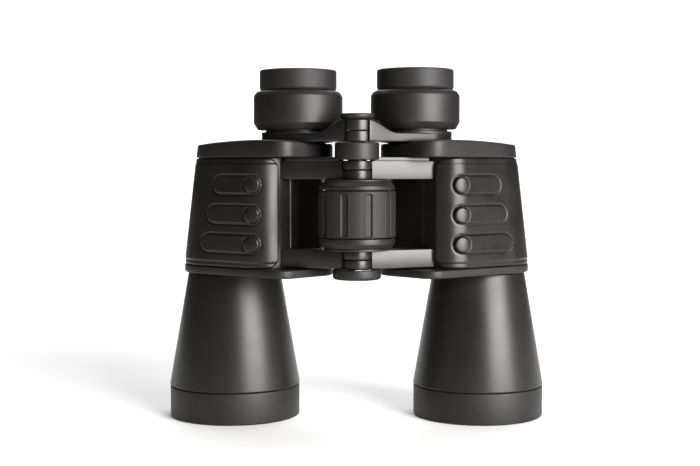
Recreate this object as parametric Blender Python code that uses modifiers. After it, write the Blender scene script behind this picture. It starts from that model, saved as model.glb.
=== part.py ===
# Porro prism binoculars standing on their objective rims, eyepieces up.
# Sizes are in millimetres and MM turns them into metres.
# The hinge axis is vertical. The left half is drawn about that axis and the right half mirrors it.
# The origin is on the floor under the middle of the whole object.

import math

import bmesh
import bpy
from mathutils import Matrix, Vector

MM = 0.001
GAP = 0.3

# plan: the optical axes of one half, from the hinge axis
RIM_RADIUS = 31.0
OBJECTIVE = Vector((-58.6, 42.5))
EYEPIECE = Vector((-27.1, 24.4))
KNOB_RADIUS = 17.4
BARREL_FOOT_RADIUS = RIM_RADIUS + 0.2
HINGE_Y = (KNOB_RADIUS - OBJECTIVE.y - BARREL_FOOT_RADIUS) / 2

# prism housing in plan: four straight sides tangent to circles, then rounded corners
END_RADIUS = 24.0
NEAR_FACING = 270.0
NEAR_ANGLE = 232.7
INNER_ANGLE = -44.2
SIDE_ANGLE = 16.9
FAR_ANGLE = 91.0
HOUSING_CLEARANCE = 29.0
PLATE_CLEARANCE = 18.5
EYE_MARGIN = 15.0
HOUSING_CORNERS = (14.0, 10.0, 10.0, END_RADIUS)
PLATE_CORNERS = (8.0, 13.0, 10.0, END_RADIUS)
TAPER = 5.8
TAPER_FROM = 40.0
TAPER_SPAN = 42.0
NEAR_STEPS = 7
CORNER_STEPS = (9, 3, 4, 10)
PAD_THICKNESS = 1.3
PAD_EDGE_X = -34.8
PAD_CORNER = 4.5
WALL = 2.0

# heights
RIM_TOP = 15.0
BARREL_TOP = 68.9
BARREL_TOP_RADIUS = 22.0
BASE_PLATE = (69.2, 72.6)
HOUSING = (72.9, 123.4)
TOP_PLATE = (123.7, 129.7)
LOWER_ARM = (73.7, 82.0)
UPPER_ARM = (113.5, 121.9)
KNOB = (83.2, 112.5)
SHELF = (97.0, 99.0)
GUIDE = (124.2, 140.6)
BRIDGE = (130.3, 139.9)
BRIDGE_THIN_TOP = 134.4
EYE_RING = (136.5, 154.4)
EYE_TOP = 164.0
DIOPTRE_SET = -0.4

# hinge and focusing parts
AXLE_RADIUS = 4.2
AXLE_BORE = 3.4
SPINDLE_RADIUS = 3.1
KNUCKLE_RADIUS = 7.0
BRIDGE_KNUCKLE = 7.6
BRIDGE_RIM = 1.7
BRIDGE_NECK = Vector((-6.05, 12.7))
BRIDGE_CORNER = Vector((-5.4, -7.0))
CAP_RADIUS = 10.9
ARM_SLOPE = math.radians(22)
ARM_CORNER = Vector((-6.6, -3.6))
ARM_ROOT = 15.0
GRIP_SLOTS = 10
GRIP_SLOT_DEPTH = 0.9

# optics
PRISM_STEP = 25.7
PRISM_ANGLE = 15.1
PRISM_LENGTH = 37.0
PRISM_WIDTH = 18.0
LOWER_PRISM_SHIFT = 4.9
EXIT_SHIFT = 3.5
GUIDE_RADIUS = 12.8
TUBE_RADIUS = 15.0
RING_RADIUS = 20.6
CUP_RADIUS = 17.8

# raised ovals of the armour pads: centre height and the outer end's distance from the middle
RIDGES = ((110.9, 68.7), (97.4, 70.9), (83.9, 73.0))
RIDGE_START = 51.5
RIDGE_HALF = 4.1
RIDGE_RISE = 0.8
BUTTON_RADIUS = 3.6
BUTTON_RISE = 1.2
BUTTON_X = 47.5

# straight sides of a turned piece
WIDE = 28
MEDIUM = 20
SMALL = 12


def clear_scene():
    for item in list(bpy.data.objects):
        bpy.data.objects.remove(item, do_unlink=True)


def new_collection(name):
    collection = bpy.data.collections.new(name)
    bpy.context.scene.collection.children.link(collection)
    return collection


def new_material(name, color, roughness, metallic=0.0, transmission=0.0):
    made = bpy.data.materials.new(name)
    made.use_nodes = True
    shader = made.node_tree.nodes["Principled BSDF"]
    shader.inputs["Base Color"].default_value = (*color, 1.0)
    shader.inputs["Roughness"].default_value = roughness
    shader.inputs["Metallic"].default_value = metallic
    shader.inputs["Transmission Weight"].default_value = transmission
    return made


clear_scene()
PARTS = new_collection("binoculars")
CUTTERS = new_collection("cutters")

PAINT = new_material("body_paint", (0.022, 0.021, 0.020), 0.45)
RIM_PAINT = new_material("rim_paint", (0.020, 0.019, 0.018), 0.6)
CAST = new_material("cast_paint", (0.025, 0.024, 0.023), 0.5)
COVER = new_material("cover_paint", (0.020, 0.019, 0.018), 0.62)
RUBBER = new_material("armour_rubber", (0.018, 0.017, 0.016), 0.42)
SOFT = new_material("soft_rubber", (0.016, 0.015, 0.014), 0.7)
PLASTIC = new_material("black_plastic", (0.020, 0.019, 0.018), 0.5)
STEEL = new_material("steel", (0.45, 0.45, 0.46), 0.3, metallic=1.0)
BRASS = new_material("brass", (0.62, 0.46, 0.20), 0.35, metallic=1.0)
ANODISED = new_material("anodised", (0.02, 0.02, 0.02), 0.4, metallic=0.6)
GLASS = new_material("optical_glass", (0.80, 0.86, 0.84), 0.02, transmission=0.9)


# ---- general shapes -------------------------------------------------------------------------

def empty(name, place, parent=None):
    made = bpy.data.objects.new(name, None)
    made.empty_display_size = 10 * MM
    made.location = Vector(place) * MM
    made.parent = parent
    PARTS.objects.link(made)
    return made


def keep(made, name, material, place, parent):
    """Name a finished piece, give it its material and stand it on its axis."""
    made.name = name
    made.data.name = name
    made.data.materials.clear()
    made.data.materials.append(material)
    made.location = Vector(place) * MM
    made.parent = parent
    return made


def as_cutter(made):
    for owner in list(made.users_collection):
        owner.objects.unlink(made)
    CUTTERS.objects.link(made)
    made.hide_render = True
    made.display_type = "WIRE"
    return made


def combine(body, tool, operation):
    """Add or cut away a tool drawn in the body's own coordinates."""
    as_cutter(tool)
    tool.parent = body
    change = body.modifiers.new(operation.lower() + "_" + tool.name, "BOOLEAN")
    change.operation = operation
    change.solver = "EXACT"
    change.object = tool
    return body


def turned(name, profile, steps, collection=None):
    """Turn an (radius, height) profile round the vertical axis; it runs down its outer side."""
    closed = profile[0][0] > 0
    mesh = bpy.data.meshes.new(name)
    count = len(profile)
    edges = [(i, i + 1) for i in range(count - 1)]
    if closed:
        edges.append((count - 1, 0))
    mesh.from_pydata([(r * MM, 0, z * MM) for r, z in profile], edges, [])
    made = bpy.data.objects.new(name, mesh)
    (collection or PARTS).objects.link(made)
    screw = made.modifiers.new("turn", "SCREW")
    screw.steps = steps
    screw.render_steps = steps
    screw.use_merge_vertices = True
    screw.merge_threshold = 0.00001
    return made


def circle(centre, radius, steps):
    turn = 2 * math.pi / steps
    return [
        (
            centre[0] + radius * math.cos((i + 0.37) * turn),
            centre[1] + radius * math.sin((i + 0.37) * turn),
        )
        for i in range(steps)
    ]


def flat(name, outlines, low, high, bevel=0.0, bevel_steps=1):
    """Extrude closed outlines between two heights; an outline inside another is a hole."""
    curve = bpy.data.curves.new(name, "CURVE")
    curve.dimensions = "2D"
    curve.fill_mode = "BOTH"
    curve.extrude = ((high - low) / 2 - bevel) * MM
    curve.bevel_depth = bevel * MM
    curve.bevel_resolution = bevel_steps
    curve.offset = -bevel * MM
    for points in outlines:
        spline = curve.splines.new("POLY")
        spline.points.add(len(points) - 1)
        for spot, (x, y) in zip(spline.points, points):
            spot.co = (x * MM, y * MM, 0, 1)
        spline.use_cyclic_u = True
    drawn = bpy.data.objects.new(name, curve)
    PARTS.objects.link(drawn)
    bpy.context.view_layer.update()
    shaped = drawn.evaluated_get(bpy.context.evaluated_depsgraph_get())
    mesh = bpy.data.meshes.new_from_object(shaped)
    bpy.data.objects.remove(drawn, do_unlink=True)
    form = bmesh.new()
    form.from_mesh(mesh)
    bmesh.ops.remove_doubles(form, verts=form.verts, dist=0.00001)
    bmesh.ops.translate(form, verts=form.verts, vec=(0, 0, (low + high) / 2 * MM))
    bmesh.ops.recalc_face_normals(form, faces=form.faces)
    form.to_mesh(mesh)
    form.free()
    made = bpy.data.objects.new(name, mesh)
    PARTS.objects.link(made)
    return made


def arc(centre, radius, start, end, steps):
    """Points of an arc with their outward normals; angles are in radians."""
    found = []
    for i in range(steps + 1):
        turn = start + (end - start) * i / steps
        normal = Vector((math.cos(turn), math.sin(turn)))
        found.append((centre + normal * radius, normal))
    return found


def mirrored(points, side):
    """The outline for one side: the right one is the left one seen in a mirror."""
    if side < 0:
        return [(p[0], p[1]) for p in points]
    return [(-p[0], p[1]) for p in reversed(points)]


def across(point, side):
    return Vector((-side * point[0], point[1]))


def turn_upright(made, origin, along, up):
    """Stand up a shape drawn flat: its x runs along a line in plan and its y runs up or down."""
    out = Vector((-along.y, along.x))
    made.data.transform(Matrix((
        (along.x, 0, out.x, origin.x * MM),
        (along.y, 0, out.y, origin.y * MM),
        (0, up, 0, origin.z * MM),
        (0, 0, 0, 1),
    )))
    form = bmesh.new()
    form.from_mesh(made.data)
    bmesh.ops.recalc_face_normals(form, faces=form.faces)
    form.to_mesh(made.data)
    form.free()
    return made


# ---- plan of the prism housing --------------------------------------------------------------

def tangent(angle, centre, radius):
    normal = Vector((math.cos(math.radians(angle)), math.sin(math.radians(angle))))
    return normal, normal.dot(centre) + radius


def crossing(first, second):
    (a, p), (b, q) = first, second
    scale = a.x * b.y - a.y * b.x
    return Vector(((p * b.y - q * a.y) / scale, (a.x * q - b.x * p) / scale))


def plan_sides(clearance):
    """The near, inner, side and far lines of a plan; the inner one clears the hinge axis."""
    return (
        tangent(NEAR_ANGLE, OBJECTIVE, END_RADIUS),
        tangent(INNER_ANGLE, Vector((0, 0)), -clearance),
        tangent(SIDE_ANGLE, EYEPIECE, EYE_MARGIN),
        tangent(FAR_ANGLE, OBJECTIVE, END_RADIUS),
    )


HOUSING_SIDES = plan_sides(HOUSING_CLEARANCE)
PLATE_SIDES = plan_sides(PLATE_CLEARANCE)


def corner_centre(before, after, radius):
    return crossing((before[0], before[1] - radius), (after[0], after[1] - radius))


def plan_corner(sides, index, radius, steps):
    """The arc that rounds the corner after one of the four sides."""
    before = sides[index]
    after = sides[(index + 1) % 4]
    centre = corner_centre(before, after, radius)
    start = math.atan2(before[0].y, before[0].x)
    end = math.atan2(after[0].y, after[0].x)
    if end < start:
        end += 2 * math.pi
    return arc(centre, radius, start, end, steps)


def plan_arcs(sides, radii):
    return [
        plan_corner(sides, index, radius, steps)
        for index, (radius, steps) in enumerate(zip(radii, CORNER_STEPS))
    ]


def near_side(outer, near):
    """Points along the straight near side, close enough together to follow its lean."""
    start, normal = outer[-1]
    end = near[0][0]
    return [(start.lerp(end, i / NEAR_STEPS), normal) for i in range(1, NEAR_STEPS)]


def outline(sides, radii, inset, side):
    near, inner, far, outer = plan_arcs(sides, radii)
    line = near_side(outer, near) + near + inner + far + outer
    return mirrored([point - normal * inset for point, normal in line], side)


def housing_outline(inset, side):
    return outline(HOUSING_SIDES, HOUSING_CORNERS, inset, side)


def plate_outline(inset, side):
    return outline(PLATE_SIDES, PLATE_CORNERS, inset, side)


def taper_mesh(made):
    """Lean the outer end of a piece inwards with height, as the housing does."""
    height = (HOUSING[1] - HOUSING[0]) * MM
    for vertex in made.data.vertices:
        reach = (abs(vertex.co.x) - TAPER_FROM * MM) / (TAPER_SPAN * MM)
        rise = (vertex.co.z - HOUSING[0] * MM) / height
        lean = TAPER * MM * max(0.0, reach) * rise
        vertex.co.x -= math.copysign(lean, vertex.co.x)
    form = bmesh.new()
    form.from_mesh(made.data)
    bmesh.ops.triangulate(form, faces=form.faces)
    bmesh.ops.recalc_face_normals(form, faces=form.faces)
    form.to_mesh(made.data)
    form.free()
    return made


# ---- one half -------------------------------------------------------------------------------

def front_rim(side, name, half):
    inner = RIM_RADIUS - 3.4
    profile = [
        (RIM_RADIUS, RIM_TOP - 0.2), (RIM_RADIUS, 0.8), (RIM_RADIUS - 0.8, 0.0),
        (RIM_RADIUS - 2.0, 0.0), (inner, 3.0), (inner, RIM_TOP - 0.2),
    ]
    made = turned(name, profile, WIDE)
    keep(made, name, RIM_PAINT, (*across(OBJECTIVE, side), 0), half)


def barrel(side, name, half):
    wall = 2.0
    profile = [
        (BARREL_TOP_RADIUS, BARREL_TOP), (BARREL_FOOT_RADIUS, RIM_TOP + 0.1),
        (BARREL_FOOT_RADIUS - wall, RIM_TOP + 0.1), (BARREL_TOP_RADIUS - wall, BARREL_TOP),
    ]
    made = turned(name, profile, WIDE)
    keep(made, name, PAINT, (*across(OBJECTIVE, side), 0), half)


def objective_cell(side, name, half):
    outer = 26.8
    low = 13.4
    high = 26.0
    profile = [
        (outer, high), (outer, low), (25.9, low), (25.9, high - 1.5), (24.4, high - 1.5),
        (24.4, high),
    ]
    made = turned(name, profile, MEDIUM)
    keep(made, name, ANODISED, (*across(OBJECTIVE, side), 0), half)


def lens(name, radius, low, high, sag_low, sag_high, steps=MEDIUM):
    """A lens between two edge heights, bulging by the two sags at its middle."""
    rings = 3
    top = [
        (radius * i / rings, high + sag_high * (1 - (i / rings) ** 2)) for i in range(rings + 1)
    ]
    bottom = [
        (radius * i / rings, low - sag_low * (1 - (i / rings) ** 2)) for i in range(rings, -1, -1)
    ]
    return turned(name, top + bottom, steps)


def objective_lens(side, name, half):
    made = lens(name, 25.5, 17.2, 22.4, 1.6, 0.9)
    keep(made, name, GLASS, (*across(OBJECTIVE, side), 0), half)


def retaining_ring(side, name, half):
    made = turned(name, [(25.5, 16.8), (25.5, 14.6), (23.6, 14.6), (24.2, 16.8)], MEDIUM)
    keep(made, name, ANODISED, (*across(OBJECTIVE, side), 0), half)


def base_plate(side, name, half):
    hole = circle(across(OBJECTIVE, side), BARREL_TOP_RADIUS - 2.5, MEDIUM)
    made = flat(name, [plate_outline(0.0, side), hole], *BASE_PLATE)
    keep(made, name, COVER, (0, 0, 0), half)


def top_plate(side, name, half):
    hole = circle(across(EYEPIECE, side), GUIDE_RADIUS + GAP, MEDIUM)
    made = flat(name, [plate_outline(0.2, side), hole], *TOP_PLATE, bevel=1.2)
    taper_mesh(made)
    keep(made, name, COVER, (0, 0, 0), half)


def arm_outline(side):
    """A cast arm from its round knuckle on the hinge into the housing's inner wall."""
    normal, _ = HOUSING_SIDES[1]
    wall_line = (normal, -HOUSING_CLEARANCE - PAD_THICKNESS - GAP - WALL / 2)
    front_normal = Vector((-math.sin(ARM_SLOPE), -math.cos(ARM_SLOPE)))
    front = (front_normal, front_normal.dot(ARM_CORNER))
    outer_front = crossing(wall_line, front)
    outer_back = outer_front + Vector((-normal.y, normal.x)) * ARM_ROOT
    knuckle = arc(Vector((0, 0)), KNUCKLE_RADIUS, math.radians(-148), math.radians(124), 14)
    points = [outer_front, ARM_CORNER] + [p for p, _ in knuckle] + [outer_back]
    return mirrored(points, side)


def knuckle_relief(name, side, low, high, radius):
    """Room for the other half's knuckle: the left half keeps the lower knuckle of each pair."""
    middle = (low + high) / 2
    span = (middle - GAP / 2, high + 1) if side < 0 else (low - 1, middle + GAP / 2)
    return flat(name, [circle((0, 0), radius, MEDIUM)], *span)


def housing(side, name, half):
    inset = PAD_THICKNESS + GAP
    made = flat(
        name, [housing_outline(inset, side), housing_outline(inset + WALL, side)], *HOUSING
    )
    taper_mesh(made)
    for low, high in (LOWER_ARM, UPPER_ARM):
        combine(made, flat(name + "_arm", [arm_outline(side)], low, high), "UNION")
    for low, high in (LOWER_ARM, UPPER_ARM):
        relief = knuckle_relief(name + "_relief", side, low, high, KNUCKLE_RADIUS + GAP)
        combine(made, relief, "DIFFERENCE")
    hole = circle((0, 0), AXLE_RADIUS + GAP, SMALL)
    bore = flat(name + "_bore", [hole], LOWER_ARM[0] - 2, UPPER_ARM[1] + 2)
    combine(made, bore, "DIFFERENCE")
    keep(made, name, CAST, (0, 0, 0), half)


def pad_columns():
    """Points, normals and corner trims of the pad's line, from its far end round to its inner end."""
    near, inner, _, outer = plan_arcs(HOUSING_SIDES, HOUSING_CORNERS)
    far_end = crossing(HOUSING_SIDES[3], (Vector((1, 0)), PAD_EDGE_X))
    path = [(far_end, HOUSING_SIDES[3][0])] + outer + near_side(outer, near) + near
    path.append(inner[0])
    reach = [0.0]
    for (start, _), (end, _) in zip(path, path[1:]):
        reach.append(reach[-1] + (end - start).length)
    last = max(i for i, (point, _) in enumerate(path) if point.x < PAD_EDGE_X)
    share = (PAD_EDGE_X - path[last][0].x) / (path[last + 1][0].x - path[last][0].x)
    total = reach[last] + share * (reach[last + 1] - reach[last])
    rounding = [PAD_CORNER * (1 - math.cos(math.pi / 2 * i / 4)) for i in range(5)]
    stops = rounding + [s for s in reach if PAD_CORNER + 0.5 < s < total - PAD_CORNER - 0.5]
    stops += [total - s for s in reversed(rounding)]
    found = []
    for stop in stops:
        i = max(k for k in range(len(reach) - 1) if reach[k] <= stop)
        share = (stop - reach[i]) / (reach[i + 1] - reach[i])
        point = path[i][0].lerp(path[i + 1][0], share)
        normal = path[i][1].lerp(path[i + 1][1], share).normalized()
        edge = min(stop, total - stop, PAD_CORNER)
        trim = PAD_CORNER - math.sqrt(PAD_CORNER ** 2 - (PAD_CORNER - edge) ** 2)
        found.append((point, normal, trim))
    return found


def armour_pad(side, name, half):
    form = bmesh.new()
    previous = None
    for point, normal, trim in pad_columns():
        inner = point - normal * PAD_THICKNESS
        low = HOUSING[0] + GAP + trim
        high = HOUSING[1] - GAP - trim
        spots = ((point, low), (point, high), (inner, high), (inner, low))
        column = [
            form.verts.new((-side * p.x * MM, p.y * MM, z * MM)) for p, z in spots
        ]
        if previous is None:
            form.faces.new(column)
        else:
            for i in range(4):
                form.faces.new((previous[i], previous[i - 1], column[i - 1], column[i]))
        previous = column
    form.faces.new(previous)
    bmesh.ops.recalc_face_normals(form, faces=form.faces)
    mesh = bpy.data.meshes.new(name)
    form.to_mesh(mesh)
    form.free()
    made = bpy.data.objects.new(name, mesh)
    PARTS.objects.link(made)
    taper_mesh(made)
    for height, reach in RIDGES:
        combine(made, pad_ridge(name + "_ridge", side, height, reach), "UNION")
        combine(made, pad_button(name + "_button", side, height), "UNION")
    keep(made, name, RUBBER, (0, 0, 0), half)


def on_pad(made, side, plane):
    """Turn a relief drawn flat (x along the face, y up) onto a plane that touches the pad."""
    normal, distance = plane
    foot = normal * distance
    turn_upright(made, Vector((*foot, 0)), Vector((normal.y, -normal.x)), 1)
    if side > 0:
        made.data.transform(Matrix.Scale(-1, 4, Vector((1, 0, 0))))
    return taper_mesh(made)


def along_pad(reach):
    """Distance along the near face of a point that far from the middle."""
    normal, distance = HOUSING_SIDES[0]
    foot = normal * distance
    along = Vector((normal.y, -normal.x))
    return (-reach - foot.x) / along.x


def pad_ridge(name, side, height, reach):
    start, end = sorted((along_pad(RIDGE_START), along_pad(reach)))
    left = Vector((start + RIDGE_HALF, height))
    right = Vector((end - RIDGE_HALF, height))
    quarter = math.pi / 2
    points = [p for p, _ in arc(right, RIDGE_HALF, -quarter, quarter, 6)]
    points += [p for p, _ in arc(left, RIDGE_HALF, quarter, 3 * quarter, 6)]
    return on_pad(flat(name, [points], -0.6, RIDGE_RISE), side, HOUSING_SIDES[0])


def pad_button(name, side, height):
    """A disc on the rounded near corner, square to the pad where it stands."""
    radius = HOUSING_CORNERS[0]
    centre = corner_centre(HOUSING_SIDES[0], HOUSING_SIDES[1], radius)
    lean = math.asin((BUTTON_X + centre.x) / radius)
    plane = tangent(NEAR_FACING - math.degrees(lean), centre, radius)
    normal, distance = plane
    spot = centre + normal * radius - normal * distance
    middle = spot.dot(Vector((normal.y, -normal.x)))
    disc = flat(name, [circle((middle, height), BUTTON_RADIUS, 12)], -0.9, BUTTON_RISE)
    return on_pad(disc, side, plane)


def prism_places(side):
    """Centres and directions of the two prisms, from the objective's axis to the eyepiece's."""
    step = math.radians(PRISM_ANGLE)
    first = Vector((math.cos(step), math.sin(step)))
    turn = OBJECTIVE + first * PRISM_STEP
    second = (EYEPIECE - turn).normalized()
    upper = (OBJECTIVE + turn) / 2
    lower = (turn + EYEPIECE) / 2 - second * LOWER_PRISM_SHIFT
    return (
        (across(upper, side), across(first, side)),
        (across(lower, side), across(second, side)),
    )


def prism(name, side, half, place, along, base, up):
    """A right-angle prism lying on its long face, with rounded ends in plan."""
    length = PRISM_LENGTH / 2
    width = PRISM_WIDTH / 2
    tip = 0.8
    triangle = flat(
        name, [[(-length, 0), (length, 0), (tip, length - tip), (-tip, length - tip)]], -width, width
    )
    turn_upright(triangle, Vector((*place, base)), along, up)
    out = Vector((-along.y, along.x))
    corner = 6.0
    middle_x = length - corner
    middle_y = width - corner
    points = []
    for i, (sx, sy) in enumerate(((1, -1), (1, 1), (-1, 1), (-1, -1))):
        centre = place + along * (sx * middle_x) + out * (sy * middle_y)
        base_angle = math.atan2(along.y, along.x) + (i - 1) * math.pi / 2
        points += [p for p, _ in arc(centre, corner, base_angle, base_angle + math.pi / 2, 4)]
    plan = flat(name + "_plan", [points], HOUSING[0], HOUSING[1])
    combine(triangle, plan, "INTERSECT")
    keep(triangle, name, GLASS, (0, 0, 0), half)


def prism_shelf(side, name, half):
    step = math.radians(PRISM_ANGLE)
    turn = OBJECTIVE + Vector((math.cos(step), math.sin(step))) * PRISM_STEP
    exit_spot = EYEPIECE - HOUSING_SIDES[1][0] * EXIT_SHIFT
    holes = [
        circle(across(spot, side), radius, SMALL)
        for spot, radius in ((OBJECTIVE, 11.0), (turn, 8.5), (exit_spot, 6.0))
    ]
    made = flat(
        name, [housing_outline(PAD_THICKNESS + WALL + 2 * GAP, side)] + holes, *SHELF
    )
    taper_mesh(made)
    keep(made, name, ANODISED, (0, 0, 0), half)


def guide_sleeve(side, name, half):
    profile = [
        (GUIDE_RADIUS, GUIDE[1]), (GUIDE_RADIUS, GUIDE[0]), (GUIDE_RADIUS - 1.4, GUIDE[0]),
        (GUIDE_RADIUS - 1.4, GUIDE[1]),
    ]
    made = turned(name, profile, MEDIUM)
    keep(made, name, BRASS, (*across(EYEPIECE, side), 0), half)


# ---- eyepieces and bridge -------------------------------------------------------------------

def bridge_outline(side):
    """The eyepiece ring, a flat front face, the knuckle on the spindle, and the neck behind."""
    radius = TUBE_RADIUS + GAP + BRIDGE_RIM
    ring = arc(EYEPIECE, radius, math.radians(8), math.radians(241), 16)
    hub = arc(Vector((0, 0)), BRIDGE_KNUCKLE, math.radians(240), math.radians(472), 12)
    points = [p for p, _ in ring] + [BRIDGE_CORNER] + [p for p, _ in hub] + [BRIDGE_NECK]
    return mirrored(points, side)


def bridge_arm(side, name, carrier):
    """A ring round the eyepiece tube, and an arm that swells up to its knuckle on the spindle."""
    eye = across(EYEPIECE, side)
    low, high = BRIDGE
    made = flat(name, [bridge_outline(side)], low, high)
    swell = 9.0
    drop = high - BRIDGE_THIN_TOP
    start = BRIDGE_KNUCKLE + 2.0
    steps = 5
    above = 0.2
    curve = []
    for i in range(steps + 1):
        fall = (drop + above) * math.sin(math.pi / 2 * i / steps)
        curve.append((start + swell * i / steps, high + above - fall))
    beyond = eye.length + 2 * TUBE_RADIUS
    profile = curve + [(beyond, BRIDGE_THIN_TOP), (beyond, high + 3), (start, high + 3)]
    scoop = flat(name + "_scoop", [profile], -30, 30)
    turn_upright(scoop, Vector((0, 0, 0)), eye.normalized(), 1)
    combine(made, scoop, "DIFFERENCE")
    relief = knuckle_relief(name + "_relief", side, low, high, BRIDGE_KNUCKLE + GAP)
    combine(made, relief, "DIFFERENCE")
    bore = flat(name + "_bore", [circle((0, 0), SPINDLE_RADIUS + GAP, SMALL)], low - 2, high + 2)
    combine(made, bore, "DIFFERENCE")
    seat = flat(name + "_seat", [circle(eye, TUBE_RADIUS + GAP, MEDIUM)], low - 2, high + 2)
    combine(made, seat, "DIFFERENCE")
    keep(made, name, CAST, (0, 0, 0), carrier)


def eyepiece_tube(side, name, carrier):
    inner = GUIDE_RADIUS + GAP
    profile = [(TUBE_RADIUS, 151.2), (TUBE_RADIUS, 130.6), (inner, 130.6), (inner, 151.2)]
    made = turned(name, profile, MEDIUM)
    keep(made, name, PLASTIC, (*across(EYEPIECE, side), 0), carrier)


def eyepiece_ring(side, name, carrier, lift):
    low, high = EYE_RING
    inner = TUBE_RADIUS + GAP
    profile = [
        (18.1, high), (19.6, high - 0.8), (RING_RADIUS, high - 2.4), (RING_RADIUS, low + 3.0),
        (18.8, low), (inner, low), (inner, high),
    ]
    made = turned(name, profile, WIDE)
    keep(made, name, PLASTIC, (*across(EYEPIECE, side), lift), carrier)


def lens_cell(side, name, carrier, lift):
    outer = GUIDE_RADIUS
    profile = [
        (14.9, 158.4), (14.9, 152.8), (outer, 152.8), (outer, 142.4), (10.6, 142.4),
        (10.6, 144.0), (11.6, 144.0), (11.6, 151.8), (10.6, 151.8), (10.6, 158.4),
    ]
    made = turned(name, profile, MEDIUM)
    keep(made, name, PLASTIC, (*across(EYEPIECE, side), lift), carrier)


def field_lens(side, name, carrier, lift):
    made = lens(name, 11.3, 145.6, 148.0, 0.8, 1.6, SMALL)
    keep(made, name, GLASS, (*across(EYEPIECE, side), lift), carrier)


def eye_lens(side, name, carrier, lift):
    made = lens(name, 10.3, 153.4, 155.6, 0.6, 1.5, SMALL)
    keep(made, name, GLASS, (*across(EYEPIECE, side), lift), carrier)


def eyecup(side, name, carrier, lift):
    """Rubber cup whose bowl narrows down to the eye lens."""
    base = EYE_RING[1] + GAP
    profile = [
        (16.2, EYE_TOP), (17.3, EYE_TOP - 0.3), (CUP_RADIUS, EYE_TOP - 1.2), (CUP_RADIUS, base),
        (15.6, base), (15.6, 158.8), (10.8, 158.8), (10.8, 159.6), (13.4, 160.6),
        (15.2, EYE_TOP - 0.6),
    ]
    made = turned(name, profile, WIDE)
    keep(made, name, SOFT, (*across(EYEPIECE, side), lift), carrier)


# ---- hinge and focusing parts ---------------------------------------------------------------

def hinge_axle(root):
    profile = [(AXLE_RADIUS, 129.0), (AXLE_RADIUS, 70.8), (AXLE_BORE, 70.8), (AXLE_BORE, 129.0)]
    keep(turned("hinge_axle", profile, SMALL), "hinge_axle", STEEL, (0, 0, 0), root)


def hinge_collar(root):
    bore = AXLE_RADIUS + GAP
    profile = [
        (9.2, 130.0), (10.0, 129.2), (10.0, 122.2), (bore, 122.2), (bore, 130.0),
    ]
    keep(turned("hinge_collar", profile, MEDIUM), "hinge_collar", COVER, (0, 0, 0), root)


def hinge_nut(root):
    bore = AXLE_RADIUS + GAP
    nut = flat("hinge_nut", [circle((0, 0), 7.6, 6), circle((0, 0), bore, SMALL)], 71.0, 73.4)
    keep(nut, "hinge_nut", STEEL, (0, 0, 0), root)


def washer(name, low, high, root):
    bore = AXLE_RADIUS + GAP
    made = flat(name, [circle((0, 0), 6.6, SMALL), circle((0, 0), bore, SMALL)], low, high)
    keep(made, name, BRASS, (0, 0, 0), root)


def tripod_cap(parent):
    """A cap over the hinge nut, whose stud screws into the axle."""
    stud = AXLE_BORE - GAP
    profile = [
        (0, 83.0), (stud, 83.0), (stud, 70.4), (8.4, 70.4), (8.4, 73.4), (CAP_RADIUS, 73.4),
        (CAP_RADIUS, 70.4), (CAP_RADIUS - 1.4, 68.9), (0, 68.9),
    ]
    keep(turned("tripod_cap", profile, MEDIUM), "tripod_cap", COVER, (0, 0, 0), parent)


def focus_knob(parent):
    low, high = KNOB
    bore = AXLE_RADIUS + GAP
    waist = 14.4
    profile = [
        (16.0, high), (17.0, high - 1.2), (17.0, high - 3.6), (waist, high - 3.6),
        (waist, low + 4.4), (17.0, low + 4.4), (17.0, low + 1.0), (16.2, low), (bore, low),
        (bore, high),
    ]
    keep(turned("focus_knob", profile, WIDE), "focus_knob", PLASTIC, (0, 0, 0), parent)


def knob_grip(parent):
    low, high = KNOB
    outline = []
    pitch = 2 * math.pi / GRIP_SLOTS
    for i in range(GRIP_SLOTS):
        start = i * pitch
        outline += [p for p, _ in arc(Vector((0, 0)), KNOB_RADIUS, start, start + pitch * 0.68, 2)]
        slot = KNOB_RADIUS - GRIP_SLOT_DEPTH
        outline += [
            p for p, _ in arc(Vector((0, 0)), slot, start + pitch * 0.70, start + pitch * 0.98, 1)
        ]
    hole = circle((0, 0), 14.4 + GAP, MEDIUM)
    made = flat("knob_grip", [outline, hole], low + 4.8, high - 4.0)
    keep(made, "knob_grip", SOFT, (0, 0, 0), parent)


def focus_spindle(parent):
    profile = [(0, BRIDGE[1]), (SPINDLE_RADIUS, BRIDGE[1]), (SPINDLE_RADIUS, 86.0), (0, 86.0)]
    keep(turned("focus_spindle", profile, SMALL), "focus_spindle", BRASS, (0, 0, 0), parent)


def bridge_cap(parent):
    profile = [
        (0, 142.8), (7.0, 142.8), (7.7, 142.2), (7.7, 141.0), (7.0, BRIDGE[1] + GAP),
        (0, BRIDGE[1] + GAP),
    ]
    keep(turned("bridge_cap", profile, MEDIUM), "bridge_cap", COVER, (0, 0, 0), parent)


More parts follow.
